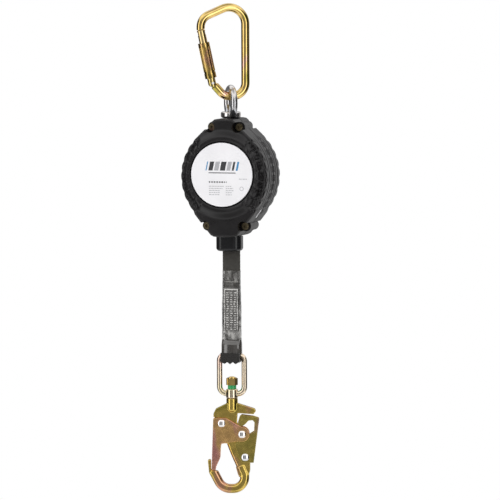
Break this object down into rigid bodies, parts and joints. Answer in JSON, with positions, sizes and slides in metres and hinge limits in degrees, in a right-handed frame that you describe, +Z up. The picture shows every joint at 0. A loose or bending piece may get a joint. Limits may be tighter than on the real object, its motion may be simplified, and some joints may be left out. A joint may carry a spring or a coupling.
{
  "type": "self retracting lifeline",
  "caption": "Personal fall arrest block: carabiner and swivel eye over a cased sprung drum of flat web, ending in a swivel ring and self-locking snap hook.",
  "frame": {"origin": "inside of the carabiner's crown, where the anchor bears", "axes": "+Z up along the line of load, +X right and -Y towards the front label; the block hangs below the origin"},
  "size_m": [0.1074, 0.073, 0.5878],
  "materials": {
    "zinc_gold": "iridescent yellow zinc plate over steel",
    "zinc_gold_dark": "darker yellow zinc plate",
    "zinc_olive": "olive yellow zinc plate",
    "zinc_rose": "rose yellow zinc plate",
    "zinc_pale": "pale pink yellow zinc plate",
    "steel_bright": "bright zinc steel",
    "steel_inner": "plain steel",
    "housing_black": "moulded black plastic",
    "nozzle_black": "smooth black plastic",
    "label_white": "printed white label",
    "web_black": "woven black webbing",
    "sleeve_clear": "clear shrink film",
    "band_grey": "smoked shrink film",
    "label_grey": "printed grey label",
    "thread": "sewing thread",
    "indicator_green": "green load indicator",
    "drum_plastic": "white nylon",
    "brass": "plain brass",
    "brake_lining": "friction lining"
  },
  "bodies": {
    "carabiner": {"carabiner_body": "zinc_gold"},
    "carabiner_gate": {"carabiner_gate": "zinc_gold", "carabiner_gate_pin": "steel_inner", "carabiner_gate_plunger": "steel_inner", "carabiner_gate_spring": "steel_inner", "carabiner_sleeve_spring": "steel_inner"},
    "carabiner_sleeve": {"carabiner_sleeve": "zinc_gold_dark"},
    "swivel_eye": {"swivel_eye": "steel_bright", "eye_thrust_washer": "brass", "eye_nut": "steel_inner", "eye_retaining_pin": "steel_inner"},
    "housing": {"eye_yoke": "steel_inner", "front_shell": "housing_black", "rear_shell": "housing_black", "front_label": "label_white", "rear_label": "label_white", "housing_bolts": "steel_bright", "housing_nuts": "steel_bright", "web_outlet_nozzle": "nozzle_black", "frame_plate_front": "steel_inner", "frame_plate_rear": "steel_inner", "frame_spacers": "steel_inner", "shaft_bushes": "brass", "spring_cup": "steel_inner", "power_spring": "steel_inner", "ratchet_ring": "steel_inner", "brake_linings": "brake_lining", "brake_pressure_plate": "steel_inner", "brake_disc_spring": "steel_inner", "web_lead": "web_black"},
    "drum": {"drum_shaft": "steel_inner", "drum_hub": "drum_plastic", "drum_flange_front": "steel_inner", "drum_flange_rear": "steel_inner", "web_coil": "web_black", "spring_arbor": "steel_inner", "pawl_carrier": "steel_inner", "pawl_pins": "steel_inner", "pawl_springs": "steel_inner", "shaft_circlips": "steel_inner"},
    "pawl_a": {"pawl_a": "steel_inner"},
    "pawl_b": {"pawl_b": "steel_inner"},
    "lifeline_end": {"lifeline_web": "web_black", "web_loop": "web_black", "loop_protector": "web_black", "shrink_band": "band_grey", "shrink_sleeve": "sleeve_clear", "sleeve_label": "label_grey", "loop_stitching": "thread"},
    "hook_ring": {"hook_swivel_ring": "zinc_pale"},
    "snap_hook": {"swivel_stud": "zinc_gold", "load_indicator_band": "indicator_green", "hook_body": "zinc_olive", "gate_pivot_rivet": "steel_bright", "lever_pivot_rivet": "steel_bright", "hook_gate_springs": "steel_inner", "lock_lever_spring": "steel_inner"},
    "hook_gate": {"hook_gate": "zinc_rose", "latch_pin": "steel_bright"},
    "lock_lever": {"lock_lever": "zinc_olive"}
  },
  "joints": [
    {"name": "carabiner_gate_open", "type": "hinge", "parent": "carabiner", "child": "carabiner_gate", "pos_m": [-0.01963, -0.01179, -0.085], "axis": [-0.515, 0.8572, 0], "range_deg": [0, 25], "stiffness_Nm_per_rad": 0.05, "springref_deg": -34.38},
    {"name": "sleeve_twist", "type": "hinge", "parent": "carabiner_gate", "child": "carabiner_sleeve", "pos_m": [-0.01963, -0.01179, -0.085], "axis": [-0.1782, -0.1071, 0.9781], "range_deg": [0, 90], "stiffness_Nm_per_rad": 0.01, "springref_deg": -28.65},
    {"name": "eye_swing", "type": "hinge", "parent": "carabiner", "child": "swivel_eye", "pos_m": [0, 0, -0.101], "axis": [0.8572, 0.515, 0], "range_deg": [-70, 70]},
    {"name": "housing_swivel", "type": "hinge", "parent": "swivel_eye", "child": "housing", "pos_m": [0, 0, -0.127], "axis": [0, 0, 1], "continuous": true},
    {"name": "web_payout", "type": "slide", "parent": "housing", "child": "lifeline_end", "axis": [0, 0, -1], "range_m": [0, 2.4127], "stiffness_N_per_m": 4, "springref_m": -4},
    {"name": "drum_spin", "type": "hinge", "parent": "housing", "child": "drum", "pos_m": [0, 0, -0.193], "axis": [0, -1, 0], "range_deg": [0, 4321]},
    {"name": "pawl_a_swing", "type": "hinge", "parent": "drum", "child": "pawl_a", "pos_m": [0.0135, 0, -0.193], "axis": [0, 1, 0], "range_deg": [0, 8], "stiffness_Nm_per_rad": 0.002, "springref_deg": -28.65},
    {"name": "pawl_b_swing", "type": "hinge", "parent": "drum", "child": "pawl_b", "pos_m": [-0.0135, 0, -0.193], "axis": [0, 1, 0], "range_deg": [0, 8], "stiffness_Nm_per_rad": 0.002, "springref_deg": -28.65},
    {"name": "ring_swing", "type": "hinge", "parent": "lifeline_end", "child": "hook_ring", "pos_m": [0, 0, -0.412], "axis": [1, 0, 0], "range_deg": [-75, 75]},
    {"name": "hook_swivel", "type": "hinge", "parent": "hook_ring", "child": "snap_hook", "pos_m": [0, 0, -0.458], "axis": [0, 0, 1], "continuous": true},
    {"name": "lever_squeeze", "type": "hinge", "parent": "snap_hook", "child": "lock_lever", "pos_m": [0.0149, 0.00427, -0.5341], "axis": [0.2756, -0.9613, 0], "range_deg": [0, 8], "stiffness_Nm_per_rad": 0.5, "springref_deg": -17.19},
    {"name": "hook_gate_open", "type": "hinge", "parent": "snap_hook", "child": "hook_gate", "pos_m": [-0.01211, -0.00347, -0.493], "axis": [0.2756, -0.9613, 0], "range_deg": [0, 22]}
  ],
  "couplings": [
    {"joint": "drum_spin", "follows": "web_payout", "rad_per_m": 31.25},
    {"joint": "hook_gate_open", "follows": "lever_squeeze", "ratio": 2.75}
  ]
}
